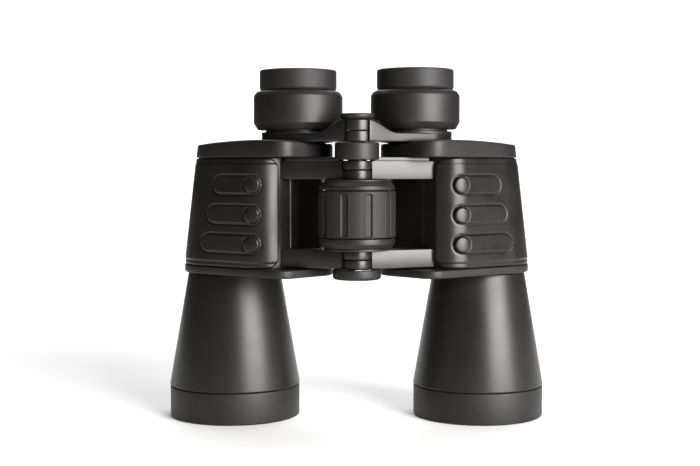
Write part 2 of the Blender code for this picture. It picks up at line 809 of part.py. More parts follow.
def build():
    hinge = empty("hinge_line", (0, HINGE_Y, 0))
    knob = empty("knob_turn", (0, 0, 0), hinge)
    focus = empty("focus_travel", (0, 0, 0), hinge)
    cap = empty("cap_travel", (0, 0, 0), hinge)
    hinge_axle(hinge)
    hinge_collar(hinge)
    hinge_nut(hinge)
    washer("lower_knob_washer", LOWER_ARM[1] + GAP, KNOB[0] - GAP, hinge)
    washer("upper_knob_washer", KNOB[1] + GAP, UPPER_ARM[0] - GAP, hinge)
    tripod_cap(cap)
    focus_knob(knob)
    knob_grip(knob)
    focus_spindle(focus)
    bridge_cap(focus)
    for side, word in ((-1, "left"), (1, "right")):
        half = empty(word + "_fold", (0, 0, 0), hinge)
        bridge = empty(word + "_bridge_fold", (0, 0, 0), focus)
        lift = DIOPTRE_SET if side < 0 else 0.0
        front_rim(side, word + "_front_rim", half)
        barrel(side, word + "_barrel", half)
        objective_cell(side, word + "_objective_cell", half)
        objective_lens(side, word + "_objective_lens", half)
        retaining_ring(side, word + "_retaining_ring", half)
        base_plate(side, word + "_base_plate", half)
        housing(side, word + "_prism_housing", half)
        armour_pad(side, word + "_armour_pad", half)
        (upper, upper_way), (lower, lower_way) = prism_places(side)
        prism(word + "_upper_prism", side, half, upper, upper_way, SHELF[1] + GAP, 1)
        prism(word + "_lower_prism", side, half, lower, lower_way, SHELF[0] - GAP, -1)
        prism_shelf(side, word + "_prism_shelf", half)
        top_plate(side, word + "_top_plate", half)
        guide_sleeve(side, word + "_guide_sleeve", half)
        bridge_arm(side, word + "_bridge_arm", bridge)
        eyepiece_tube(side, word + "_eyepiece_tube", bridge)
        ring = "_dioptre_ring" if side < 0 else "_eyepiece_ring"
        eyepiece_ring(side, word + ring, bridge, lift)
        lens_cell(side, word + "_lens_cell", bridge, lift)
        field_lens(side, word + "_field_lens", bridge, lift)
        eye_lens(side, word + "_eye_lens", bridge, lift)
        eyecup(side, word + "_eyecup", bridge, lift)


build()
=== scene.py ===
# Porro prism binoculars standing on their objective rims.
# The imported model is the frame, and the pieces here are worked out from it in millimetres.

import math

import bmesh
import bpy
import numpy as np
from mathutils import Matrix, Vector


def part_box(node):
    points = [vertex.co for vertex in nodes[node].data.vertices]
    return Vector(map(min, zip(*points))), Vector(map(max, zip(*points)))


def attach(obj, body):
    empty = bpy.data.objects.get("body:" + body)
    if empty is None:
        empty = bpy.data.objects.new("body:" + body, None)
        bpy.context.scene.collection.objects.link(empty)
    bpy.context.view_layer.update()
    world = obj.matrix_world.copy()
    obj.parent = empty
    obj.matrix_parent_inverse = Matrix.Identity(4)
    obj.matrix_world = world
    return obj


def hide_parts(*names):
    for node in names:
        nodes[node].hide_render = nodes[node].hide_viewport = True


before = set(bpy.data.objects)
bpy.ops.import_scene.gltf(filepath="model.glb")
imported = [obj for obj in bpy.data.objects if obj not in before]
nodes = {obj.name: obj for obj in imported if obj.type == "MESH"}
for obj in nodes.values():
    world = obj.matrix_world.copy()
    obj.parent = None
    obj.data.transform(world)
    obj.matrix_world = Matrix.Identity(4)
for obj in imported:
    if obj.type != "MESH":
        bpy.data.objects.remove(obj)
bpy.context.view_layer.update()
mm = 0.001
sides = {"left": -1, "right": 1}


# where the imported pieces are, in millimetres

def span(node):
    low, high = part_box(node)
    return np.array(low) / mm, np.array(high) / mm


def axisOf(node):
    low, high = span(node)
    return (low[:2] + high[:2]) / 2


def radiusOf(node):
    low, high = span(node)
    return (high[0] - low[0]) / 2


def heights(node):
    low, high = span(node)
    return low[2], high[2]


hingeAxis = axisOf("hinge_axle")
objectiveAxis = {side: axisOf(side + "_front_rim") for side in sides}
eyeAxis = {side: axisOf(side + "_eyecup") for side in sides}
print("frame loaded:", len(nodes), "nodes")


# ---- meshes from arrays ----

def makeMesh(name, points, faces, sharpAngle=38):
    mesh = bpy.data.meshes.new(name)
    mesh.from_pydata((points.reshape(-1, 3) * mm).tolist(), [], faces)
    form = bmesh.new()
    form.from_mesh(mesh)
    bmesh.ops.remove_doubles(form, verts=form.verts, dist=2e-6)
    bmesh.ops.dissolve_degenerate(form, edges=form.edges, dist=1e-6)
    bmesh.ops.recalc_face_normals(form, faces=form.faces)
    form.to_mesh(mesh)
    form.free()
    mesh.shade_smooth()
    mesh.set_sharp_from_angle(angle=math.radians(sharpAngle))
    made = bpy.data.objects.new(name, mesh)
    bpy.context.scene.collection.objects.link(made)
    return made


# A grid of points becomes a skin of four-sided faces; either way round it may close on itself,
# and caps close the first and last rows with one face each.
def gridPiece(name, grid, wrapU=False, wrapV=False, caps=False, sharpAngle=38):
    rows, columns = grid.shape[:2]
    ids = np.arange(rows * columns).reshape(rows, columns)
    first, last = ids[0].tolist(), ids[-1].tolist()
    if wrapU:
        ids = np.vstack([ids, ids[:1]])
    if wrapV:
        ids = np.hstack([ids, ids[:, :1]])
    quads = np.stack([ids[:-1, :-1], ids[1:, :-1], ids[1:, 1:], ids[:-1, 1:]], -1)
    faces = quads.reshape(-1, 4).tolist()
    if caps:
        faces += [first, last[::-1]]
    return makeMesh(name, grid, faces, sharpAngle)


# Each corner of a closed profile (two coordinates and a rounding radius) becomes an arc that
# touches both of its sides: the arc's points are the slerp between its two ends about its centre.
def softened(rows, steps=5):
    rows = np.asarray(rows, float)
    at, radius = rows[:, :2], rows[:, 2:3]
    toBefore = np.roll(at, 1, 0) - at
    toAfter = np.roll(at, -1, 0) - at
    before = np.linalg.norm(toBefore, axis=1, keepdims=True)
    after = np.linalg.norm(toAfter, axis=1, keepdims=True)
    u, v = toBefore / before, toAfter / after
    half = 0.5 * np.arccos(np.clip((u * v).sum(1, keepdims=True), -0.999999, 0.999999))
    reach = np.minimum(radius / np.tan(half), 0.48 * np.minimum(before, after))
    radius = reach * np.tan(half)
    bisector = (u + v) / np.maximum(np.linalg.norm(u + v, axis=1, keepdims=True), 1e-9)
    centre = at + bisector * radius / np.sin(half)
    start, end = at + u * reach - centre, at + v * reach - centre
    turn = np.maximum(np.pi - 2 * half, 1e-4)[:, None]
    share = np.linspace(0, 1, steps + 1)[None, :, None]
    arcs = np.sin((1 - share) * turn) * start[:, None] + np.sin(share * turn) * end[:, None]
    return (centre[:, None] + arcs / np.sin(turn)).reshape(-1, 2)


# A closed profile (radius, height, rounding) turned about an upright axis.
def turned(name, rows, axis, around=112, steps=5, sharpAngle=38):
    profile = softened(rows, steps)
    angle = np.linspace(0, 2 * np.pi, around, endpoint=False)[:, None]
    grid = np.stack([
        axis[0] + profile[None, :, 0] * np.cos(angle),
        axis[1] + profile[None, :, 0] * np.sin(angle),
        profile[None, :, 1] + 0 * angle,
    ], -1)
    return gridPiece(name, grid, wrapU=True, wrapV=True, sharpAngle=sharpAngle)


# The same for a piece that is solid at its axis: the profile starts and ends at radius 0.
def turnedSolid(name, rows, axis, around=112, steps=5):
    corners = np.asarray(rows, float)
    profile = softened(corners, steps).reshape(len(corners), -1, 2)
    profile = np.vstack([corners[:1, :2], profile[1:-1].reshape(-1, 2), corners[-1:, :2]])
    angle = np.linspace(0, 2 * np.pi, around, endpoint=False)[:, None]
    grid = np.stack([
        axis[0] + profile[None, :, 0] * np.cos(angle),
        axis[1] + profile[None, :, 0] * np.sin(angle),
        profile[None, :, 1] + 0 * angle,
    ], -1)
    return gridPiece(name, grid, wrapU=True)


def arcPoints(centre, radius, start, end, count=24):
    angle = np.radians(np.linspace(start, end, count))
    return np.stack([centre[0] + radius * np.cos(angle), centre[1] + radius * np.sin(angle)], 1)


# A closed line resampled at even distances, then averaged along itself over the rounding length
# (a Gaussian taken off in the frequency domain), which rounds its corners. The normal is the
# line's direction turned a quarter outwards.
def smoothLine(points, spacing=0.5, rounding=0.5):
    loop = np.vstack([points, points[:1]])
    reach = np.concatenate([[0], np.cumsum(np.linalg.norm(np.diff(loop, axis=0), axis=1))])
    count = int(round(reach[-1] / spacing))
    even = np.linspace(0, reach[-1], count, endpoint=False)
    line = np.interp(even, reach, loop[:, 0]) + 1j * np.interp(even, reach, loop[:, 1])
    wave = np.fft.fftfreq(count, reach[-1] / count)
    line = np.fft.ifft(np.fft.fft(line) * np.exp(-2 * (np.pi * wave * rounding) ** 2))
    along = np.roll(line, -1) - np.roll(line, 1)
    area = 0.5 * np.sum(line.real * np.roll(line.imag, -1) - np.roll(line.real, -1) * line.imag)
    normal = along / np.abs(along) * (-1j if area > 0 else 1j)
    return np.stack([line.real, line.imag], 1), np.stack([normal.real, normal.imag], 1)


# A slab between two heights over a closed outline. Its section runs from the hole (or, with no
# hole, from a middle point) along the bottom, round the edge's two bevels and back over the top.
def slab(name, line, normal, low, high, middle, hole=0.0, bevel=0.4, lean=None, crown=None,
         topBevel=None, across=10):
    topBevel = bevel if topBevel is None else topBevel
    quarter = np.linspace(0, np.pi / 2, 5)
    bottomInset, bottomRise = bevel * (1 - np.sin(quarter)), bevel * (1 - np.cos(quarter))
    topInset, topDrop = topBevel * (1 - np.cos(quarter)), topBevel * (1 - np.sin(quarter))
    inset = np.concatenate([bottomInset, topInset])
    height = np.concatenate([low + bottomRise, high - topDrop])
    edge = line[:, None] - normal[:, None] * inset[None, :, None]
    away = line - middle
    ring = middle + away / np.linalg.norm(away, axis=1, keepdims=True) * hole
    share = np.linspace(0, 1, across)[None, 1:, None]
    bottom = edge[:, :1] * share + ring[:, None] * (1 - share)
    top = edge[:, -1:] * (1 - share) + ring[:, None] * share
    plan = np.concatenate([ring[:, None], bottom[:, :-1], edge, top], 1)
    heightRow = np.concatenate([
        np.full(across - 1, low), height, np.full(across - 1, high)
    ])
    grid = np.dstack([plan, np.broadcast_to(heightRow, plan.shape[:2])])
    if crown is not None:
        raised = (heightRow > (low + high) / 2)[None, :]
        grid[..., 2] += crown(grid[..., 0], grid[..., 1]) * raised
    if lean is not None:
        grid = lean(grid)
    return gridPiece(name, grid, wrapU=True, wrapV=hole > 0)


def placed(piece, body, slotName, *replaced):
    piece.data.materials.append(finishes[slotName])
    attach(piece, body)
    if replaced:
        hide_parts(*replaced)
    return piece


def inWorld(points, side):
    # the left half is drawn about the hinge axis, and the right half is its mirror image
    moved = np.array(points, float)
    moved[..., 0] *= -sides[side]
    return moved + hingeAxis


# ---- finishes ----

finishValues = {
    "body_paint": dict(colour=(0.0077, 0.0066, 0.0056), rough=0.37, roughSpread=0.05, grain=2600,
                       bump=0.10, cloud=45, metal=0.0, coat=0.0),
    "rim_paint": dict(colour=(0.0074, 0.0063, 0.0052), rough=0.50, roughSpread=0.08, grain=1500,
                      bump=0.45, cloud=60, metal=0.0, coat=0.0),
    "cast_paint": dict(colour=(0.0081, 0.0068, 0.0058), rough=0.34, roughSpread=0.05, grain=1900,
                       bump=0.14, cloud=70, metal=0.0, coat=0.15),
    "cover_paint": dict(colour=(0.0081, 0.0068, 0.0057), rough=0.50, roughSpread=0.06, grain=2100,
                        bump=0.22, cloud=50, metal=0.0, coat=0.0),
    "armour_rubber": dict(colour=(0.0065, 0.0055, 0.0046), rough=0.36, roughSpread=0.07,
                          grain=3000, bump=0.10, cloud=80, metal=0.0, coat=0.0),
    "soft_rubber": dict(colour=(0.0077, 0.0066, 0.0055), rough=0.60, roughSpread=0.08, grain=2400,
                        bump=0.30, cloud=70, metal=0.0, coat=0.0, lines=1500),
    "black_plastic": dict(colour=(0.0074, 0.0063, 0.0053), rough=0.46, roughSpread=0.06,
                          grain=2600, bump=0.14, cloud=60, metal=0.0, coat=0.0, lines=900),
    "steel": dict(colour=(0.42, 0.42, 0.43), rough=0.30, roughSpread=0.10, grain=900, bump=0.06,
                  cloud=120, metal=1.0, coat=0.0, lines=1800),
    "anodised": dict(colour=(0.0099, 0.0090, 0.0085), rough=0.42, roughSpread=0.08, grain=2000,
                     bump=0.10, cloud=90, metal=0.35, coat=0.0, lines=1200),
}


# A finish is one shader whose colour and roughness wander slowly with a cloud noise, over a fine
# grain that lifts the surface; turned pieces also carry faint lines round their axis.
def makeFinish(name, colour, rough, roughSpread, grain, bump, cloud, metal, coat, lines=0):
    made = bpy.data.materials.new(name)
    made.use_nodes = True
    tree = made.node_tree
    shader = tree.nodes["Principled BSDF"]
    shader.inputs["Metallic"].default_value = metal
    shader.inputs["Coat Weight"].default_value = coat
    shader.inputs["Specular IOR Level"].default_value = 0.36
    shader.inputs["Coat Roughness"].default_value = 0.25
    place = tree.nodes.new("ShaderNodeTexCoord")
    clouds = tree.nodes.new("ShaderNodeTexNoise")
    clouds.inputs["Scale"].default_value = cloud
    clouds.inputs["Detail"].default_value = 5
    clouds.inputs["Roughness"].default_value = 0.6
    tree.links.new(place.outputs["Object"], clouds.inputs["Vector"])
    fine = tree.nodes.new("ShaderNodeTexNoise")
    fine.inputs["Scale"].default_value = grain
    fine.inputs["Detail"].default_value = 3
    tree.links.new(place.outputs["Object"], fine.inputs["Vector"])
    tint = tree.nodes.new("ShaderNodeValToRGB")
    tint.color_ramp.elements[0].position = 0.3
    tint.color_ramp.elements[1].position = 0.7
    tint.color_ramp.elements[0].color = (*[c * 0.82 for c in colour], 1)
    tint.color_ramp.elements[1].color = (*[c * 1.22 for c in colour], 1)
    tree.links.new(clouds.outputs["Fac"], tint.inputs["Fac"])
    tree.links.new(tint.outputs["Color"], shader.inputs["Base Color"])
    mixed = tree.nodes.new("ShaderNodeMath")
    mixed.operation = "MULTIPLY_ADD"
    mixed.inputs[1].default_value = 0.5
    tree.links.new(fine.outputs["Fac"], mixed.inputs[0])
    tree.links.new(clouds.outputs["Fac"], mixed.inputs[2])
    spread = tree.nodes.new("ShaderNodeMapRange")
    spread.inputs["From Min"].default_value = 0.45
    spread.inputs["From Max"].default_value = 1.05
    spread.inputs["To Min"].default_value = rough - roughSpread
    spread.inputs["To Max"].default_value = rough + roughSpread
    tree.links.new(mixed.outputs["Value"], spread.inputs["Value"])
    tree.links.new(spread.outputs["Result"], shader.inputs["Roughness"])
    height = fine.outputs["Fac"]
    if lines:
        wave = tree.nodes.new("ShaderNodeTexWave")
        wave.wave_type = "BANDS"
        wave.bands_direction = "Z"
        wave.inputs["Scale"].default_value = lines / 20
        wave.inputs["Distortion"].default_value = 1.5
        wave.inputs["Detail"].default_value = 2
        tree.links.new(place.outputs["Object"], wave.inputs["Vector"])
        joined = tree.nodes.new("ShaderNodeMath")
        joined.operation = "MULTIPLY_ADD"
        joined.inputs[1].default_value = 0.6
        tree.links.new(wave.outputs["Fac"], joined.inputs[0])
        tree.links.new(fine.outputs["Fac"], joined.inputs[2])
        height = joined.outputs["Value"]
    lift = tree.nodes.new("ShaderNodeBump")
    lift.inputs["Strength"].default_value = bump
    lift.inputs["Distance"].default_value = 0.0001
    tree.links.new(height, lift.inputs["Height"])
    tree.links.new(lift.outputs["Normal"], shader.inputs["Normal"])
    return made


finishes = {name: makeFinish(name, **values) for name, values in finishValues.items()}

glassValues = {"colour": (0.80, 0.86, 0.90), "coating": (0.32, 0.12, 0.55), "rough": 0.02}


# Coated glass: clear, with a faint violet bloom that is stronger where the coating is thicker.
def makeGlass(name, colour, coating, rough):
    made = bpy.data.materials.new(name)
    made.use_nodes = True
    tree = made.node_tree
    shader = tree.nodes["Principled BSDF"]
    shader.inputs["Roughness"].default_value = rough
    shader.inputs["IOR"].default_value = 1.52
    shader.inputs["Transmission Weight"].default_value = 0.92
    place = tree.nodes.new("ShaderNodeTexCoord")
    bloom = tree.nodes.new("ShaderNodeTexNoise")
    bloom.inputs["Scale"].default_value = 35
    tree.links.new(place.outputs["Object"], bloom.inputs["Vector"])
    tint = tree.nodes.new("ShaderNodeValToRGB")
    tint.color_ramp.elements[0].color = (*colour, 1)
    tint.color_ramp.elements[1].color = (*[(a + b) / 2 for a, b in zip(colour, coating)], 1)
    tree.links.new(bloom.outputs["Fac"], tint.inputs["Fac"])
    tree.links.new(tint.outputs["Color"], shader.inputs["Base Color"])
    return made


finishes["optical_glass"] = makeGlass("optical_glass", **glassValues)
print("finishes made:", len(finishes))


# ---- front rims, barrels and objectives ----

rimValues = {"lip": 2.0, "foot": 0.9, "shoulder": 0.5, "bore": 27.6}
barrelValues = {"topRadius": 22.0, "wall": 2.0, "foot": 31.2}
cellValues = {"outer": 26.8, "inner": 25.9, "lip": 24.4, "ledge": 1.5}
retainerValues = {"outer": 25.5, "foot": 24.6, "inner": 24.2, "throat": 23.7}
objectiveGlass = {"radius": 25.5, "lowBulge": 1.6, "highBulge": 0.9}


def frontParts(side):
    axis, body = objectiveAxis[side], side + "_half"
    low, high = heights(side + "_front_rim")
    outer = radiusOf(side + "_front_rim")
    bore = rimValues["bore"]
    rim = turned(side + "FrontRim", [
        (outer, high, rimValues["shoulder"]), (outer, low, rimValues["foot"]),
        (outer - rimValues["lip"], low, 0.5), (bore + 0.5, low + 2.4, 0.5), (bore, low + 3.4, 0.4),
        (bore, high, 0.2),
    ], axis, around=160)
    placed(rim, body, "rim_paint", side + "_front_rim")
    low, high = heights(side + "_barrel")
    top, foot, wall = barrelValues["topRadius"], barrelValues["foot"], barrelValues["wall"]
    barrel = turned(side + "Barrel", [
        (top, high, 0.3), (foot, low, 0.45), (foot - wall, low, 0.2), (top - wall, high, 0.2),
    ], axis, around=160)
    placed(barrel, body, "body_paint", side + "_barrel")
    low, high = heights(side + "_objective_cell")
    cell = turned(side + "ObjectiveCell", [
        (cellValues["outer"], high, 0.3), (cellValues["outer"], low, 0.3),
        (cellValues["inner"], low, 0.2), (cellValues["inner"], high - cellValues["ledge"], 0.1),
        (cellValues["lip"], high - cellValues["ledge"], 0.2), (cellValues["lip"], high, 0.2),
    ], axis, around=96)
    placed(cell, body, "anodised", side + "_objective_cell")
    low, high = heights(side + "_retaining_ring")
    ring = turned(side + "RetainingRing", [
        (retainerValues["outer"], high, 0.1), (retainerValues["outer"], low, 0.3),
        (retainerValues["foot"], low, 0.3), (retainerValues["inner"], low + 0.8, 0.2),
        (retainerValues["throat"], low + 1.2, 0.2), (retainerValues["inner"], high, 0.1),
    ], axis, around=96)
    placed(ring, body, "anodised", side + "_retaining_ring")
    low, high = heights(side + "_objective_lens")
    lensPiece(side + "ObjectiveLens", axis, objectiveGlass["radius"], low,
              low + objectiveGlass["lowBulge"], high - objectiveGlass["highBulge"], high, body,
              side + "_objective_lens")


# A lens turned about its axis: each face falls from its middle with the square of the radius.
def lensPiece(name, axis, radius, lowMiddle, lowEdge, highEdge, highMiddle, body, node):
    share = np.linspace(0, 1, 15)
    bottom = np.stack([share * radius, lowMiddle + (lowEdge - lowMiddle) * share ** 2], 1)
    top = np.stack([share * radius, highMiddle + (highEdge - highMiddle) * share ** 2], 1)
    profile = np.vstack([bottom, top[::-1]])
    angle = np.linspace(0, 2 * np.pi, 72, endpoint=False)[:, None]
    grid = np.stack([
        axis[0] + profile[None, :, 0] * np.cos(angle),
        axis[1] + profile[None, :, 0] * np.sin(angle),
        profile[None, :, 1] + 0 * angle,
    ], -1)
    made = gridPiece(name, grid, wrapU=True)
    return placed(made, body, "optical_glass", node)


for side in sides:
    frontParts(side)
print("rims, barrels and objectives made")


# ---- prism housings, plates and armour ----

planValues = {
    "angles": (232.7, 315.8, 376.9, 451.0),
    "objective": (-58.6, 42.5), "eyepiece": (-27.1, 24.4),
    "endRadius": 24.0, "eyeMargin": 15.0, "housingClear": 29.0, "plateClear": 18.5,
    "housingCorners": (14.0, 10.0, 10.0, 24.0), "plateCorners": (8.0, 13.0, 10.0, 24.0),
}
housingValues = {
    "padThickness": 1.3, "gap": 0.3, "wall": 2.0, "padEdge": -34.8, "padCorner": 5.5,
    "grooveX": -30.4, "grooveDepth": 0.55, "grooveWidth": 0.28,
}
taperValues = {"amount": 5.8, "start": 40.0, "span": 42.0}
plateBottom, plateTop = heights("left_top_plate")
baseBottom, baseTop = heights("left_base_plate")
bodyBottom, bodyTop = heights("left_prism_housing")


# Four straight sides, each a normal angle and a distance, with a rounded corner after each: the
# corner's centre is where the two sides cross once both are pushed in by its radius.
def planLine(clear, radii, steps=28):
    values = planValues
    angle = np.radians(values["angles"])
    normal = np.stack([np.cos(angle), np.sin(angle)], 1)
    objective, eyepiece = np.array(values["objective"]), np.array(values["eyepiece"])
    distance = np.array([
        normal[0] @ objective + values["endRadius"], -clear,
        normal[2] @ eyepiece + values["eyeMargin"], normal[3] @ objective + values["endRadius"],
    ])
    radii = np.array(radii, float)
    after = np.roll(normal, -1, 0)
    scale = normal[:, 0] * after[:, 1] - normal[:, 1] * after[:, 0]
    here, there = distance - radii, np.roll(distance, -1) - radii
    centre = np.stack([
        here * after[:, 1] - there * normal[:, 1], normal[:, 0] * there - after[:, 0] * here
    ], 1) / scale[:, None]
    turn = np.mod(np.roll(angle, -1) - angle, 2 * np.pi)
    along = angle[:, None] + turn[:, None] * np.linspace(0, 1, steps)[None]
    spot = centre[:, None] + radii[:, None, None] * np.dstack([np.cos(along), np.sin(along)])
    return spot.reshape(-1, 2), np.unwrap(along.reshape(-1))


# Even steps along a plan line, with the normal's angle carried along.
def evenLine(points, angle, spacing, start=None, end=None, closed=True):
    if closed:
        points = np.vstack([points, points[:1]])
        angle = np.append(angle, angle[0] + 2 * np.pi)
    reach = np.concatenate([[0], np.cumsum(np.linalg.norm(np.diff(points, axis=0), axis=1))])
    start = 0 if start is None else start
    end = reach[-1] if end is None else end
    count = int(round((end - start) / spacing))
    even = np.linspace(start, end, count, endpoint=not closed)
    line = np.stack([np.interp(even, reach, points[:, 0]), np.interp(even, reach, points[:, 1])], 1)
    turn = np.interp(even, reach, angle)
    return line, np.stack([np.cos(turn), np.sin(turn)], 1), even


# The outer end leans in with height, in proportion to how far out a point is.
def leaned(grid, side):
    out = np.array(grid, float)
    local = (out[..., 0] - hingeAxis[0]) * -sides[side]
    reach = np.maximum(0, (np.abs(local) - taperValues["start"]) / taperValues["span"])
    rise = (out[..., 2] - bodyBottom) / (bodyTop - bodyBottom)
    out[..., 0] += -sides[side] * taperValues["amount"] * reach * rise
    return out


coverValues = {"topBevel": 1.2, "lowBevel": 0.5, "rise": 1.6, "riseAt": 46.0, "riseSpan": 32.0,
               "flatWithin": 17.5, "flatFade": 8.0, "seam": 0.25, "baseBevel": 0.9, "hole": 13.1,
               "baseHole": 19.5, "inset": 0.2}


def plates(side):
    points, angle = planLine(planValues["plateClear"], planValues["plateCorners"])
    line, normal, _ = evenLine(points, angle, 1.0)
    mirror = np.array([-sides[side], 1])
    eye, objective = eyeAxis[side], objectiveAxis[side]

    def crown(x, y):
        # a parabola across the cover, faded out to nothing round the eyepiece
        across = (np.abs(x - hingeAxis[0]) - coverValues["riseAt"]) / coverValues["riseSpan"]
        fromEye = np.hypot(x - eye[0], y - eye[1])
        fade = smoothStep((fromEye - coverValues["flatWithin"]) / coverValues["flatFade"])
        return coverValues["rise"] * np.maximum(1 - across ** 2, 0) * fade

    line -= normal * coverValues["inset"]
    top = slab(side + "TopPlate", inWorld(line, side), normal * mirror,
               plateBottom - coverValues["seam"], plateTop, eye, hole=coverValues["hole"],
               bevel=coverValues["lowBevel"], topBevel=coverValues["topBevel"],
               lean=lambda g: leaned(g, side), crown=crown, across=14)
    placed(top, side + "_half", "cover_paint", side + "_top_plate")
    base = slab(side + "BasePlate", inWorld(line, side), normal * mirror, baseBottom,
                baseTop + coverValues["seam"], objective, hole=coverValues["baseHole"],
                bevel=coverValues["baseBevel"],
                topBevel=0.5, across=8)
    placed(base, side + "_half", "cover_paint", side + "_base_plate")


# The housing is one wall carried round its plan: its outer face lies under the armour, and a fine
# upright groove is cut where the bare inner face begins.
def housingShell(side):
    values = housingValues
    points, angle = planLine(planValues["housingClear"], planValues["housingCorners"])
    line, normal, _ = evenLine(points, angle, 0.35)
    inset = values["padThickness"] + values["gap"]
    face = line - normal * inset
    inner = np.clip(-4 * normal[:, 1], 0, 1)
    offset = (face[:, 0] - values["grooveX"]) / values["grooveWidth"]
    groove = values["grooveDepth"] * np.exp(-offset ** 2) * inner
    bare = 0.45 * np.clip((values["grooveX"] - face[:, 0]) / 0.3 + 0.5, 0, 1) * inner
    rise = np.linspace(0, 1, 22)
    edge = 0.5
    quarter = np.linspace(0, np.pi / 2, 5)
    outerInset = np.concatenate([edge * (1 - np.sin(quarter)), np.zeros(20),
                                 edge * (1 - np.cos(quarter))])
    outerHeight = np.concatenate([
        bodyBottom + edge * (1 - np.cos(quarter)),
        bodyBottom + edge + (bodyTop - bodyBottom - 2 * edge) * rise[1:-1],
        bodyTop - edge * (1 - np.sin(quarter)),
    ])
    sunk = groove - bare
    outer = face[:, None] - normal[:, None] * (outerInset[None, :, None] + sunk[:, None, None])
    innerFace = face - normal * values["wall"]
    plan = np.concatenate([outer, innerFace[:, None], innerFace[:, None]], 1)
    height = np.concatenate([outerHeight, [bodyTop - 0.2, bodyBottom + 0.2]])
    grid = np.dstack([inWorld(plan, side), np.broadcast_to(height, plan.shape[:2])])
    made = gridPiece(side + "PrismHousing", leaned(grid, side), wrapU=True, wrapV=True)
    placed(made, side + "_half", "cast_paint", side + "_prism_housing")


armValues = {
    "slope": 22.0, "corner": (-6.6, -3.6), "root": 15.0, "knuckle": 7.0, "relief": 7.35,
    "bore": 4.5, "bevel": 0.35, "split": 0.15, "ribShare": 0.84, "rib": (121.6, 123.5),
    "lower": (73.7, 82.0), "upper": (113.5, 121.9),
}


# An arm runs from the housing's inner wall to the hinge; its end is hollowed round the knuckles.
def arms(side):
    values = armValues
    slope = math.radians(values["slope"])
    wall = np.array([math.cos(math.radians(-44.2)), math.sin(math.radians(-44.2))])
    wallDistance = -planValues["housingClear"] - 1.6 - 1.0
    front = np.array([-math.sin(slope), -math.cos(slope)])
    corner = np.array(values["corner"])
    outerFront = np.linalg.solve(np.array([wall, front]), [wallDistance, front @ corner])
    outerBack = outerFront + np.array([-wall[1], wall[0]]) * values["root"]
    knuckle, relief = values["knuckle"], values["relief"]
    hollow = arcPoints((0, 0), relief, 207, 124, 24)
    armLine, armNormal = smoothLine(
        np.vstack([[outerFront], [corner], hollow, [outerBack]]), 0.5, 0.22)
    web = np.vstack([arcPoints((0, 0), knuckle, -155, 122, 40), [(-8.6, 6.0)], [(-8.6, -2.5)]])
    webLine, webNormal = smoothLine(web, 0.5, 0.2)
    mirror = np.array([-sides[side], 1])
    middleSpot = np.array([-15.0, 0.5])
    ribLine = middleSpot + (armLine - middleSpot) * values["ribShare"]
    rib = slab(side + "UpperRib", inWorld(ribLine, side), armNormal * mirror, *values["rib"],
               inWorld(middleSpot, side), bevel=values["bevel"], across=6)
    placed(rib, side + "_half", "cast_paint", side + "_prism_housing")
    for word in ("lower", "upper"):
        low, high = values[word]
        middle = (low + high) / 2
        arm = slab(side + word.capitalize() + "Arm", inWorld(armLine, side), armNormal * mirror,
                   low, high, inWorld(middleSpot, side), bevel=values["bevel"], across=6)
        placed(arm, side + "_half", "cast_paint", side + "_prism_housing")
        ends = (low, middle - values["split"]) if side == "left" else (
            middle + values["split"], high)
        knuckleEye = slab(side + word.capitalize() + "Knuckle", inWorld(webLine, side),
                          webNormal * mirror, *ends, hingeAxis, hole=values["bore"],
                          bevel=values["bevel"], across=5)
        placed(knuckleEye, side + "_half", "cast_paint", side + "_prism_housing")


padValues = {
    "thickness": 1.3, "edge": 1.0, "border": 2.3, "borderDrop": 0.32,
    "ridges": ((110.9, 69.0), (97.4, 71.2), (84.1, 73.2)), "ridgeStart": 43.7,
    "ridgeHalf": 3.9, "ridgeRise": 0.85, "ridgeRun": 0.55, "channel": 0.28,
    "button": 3.4, "buttonRise": 0.62, "buttonRun": 0.5,
    "fine": 0.34, "coarse": 1.1,
}


def smoothStep(value):
    held = np.clip(value, 0, 1)
    return held * held * (3 - 2 * held)


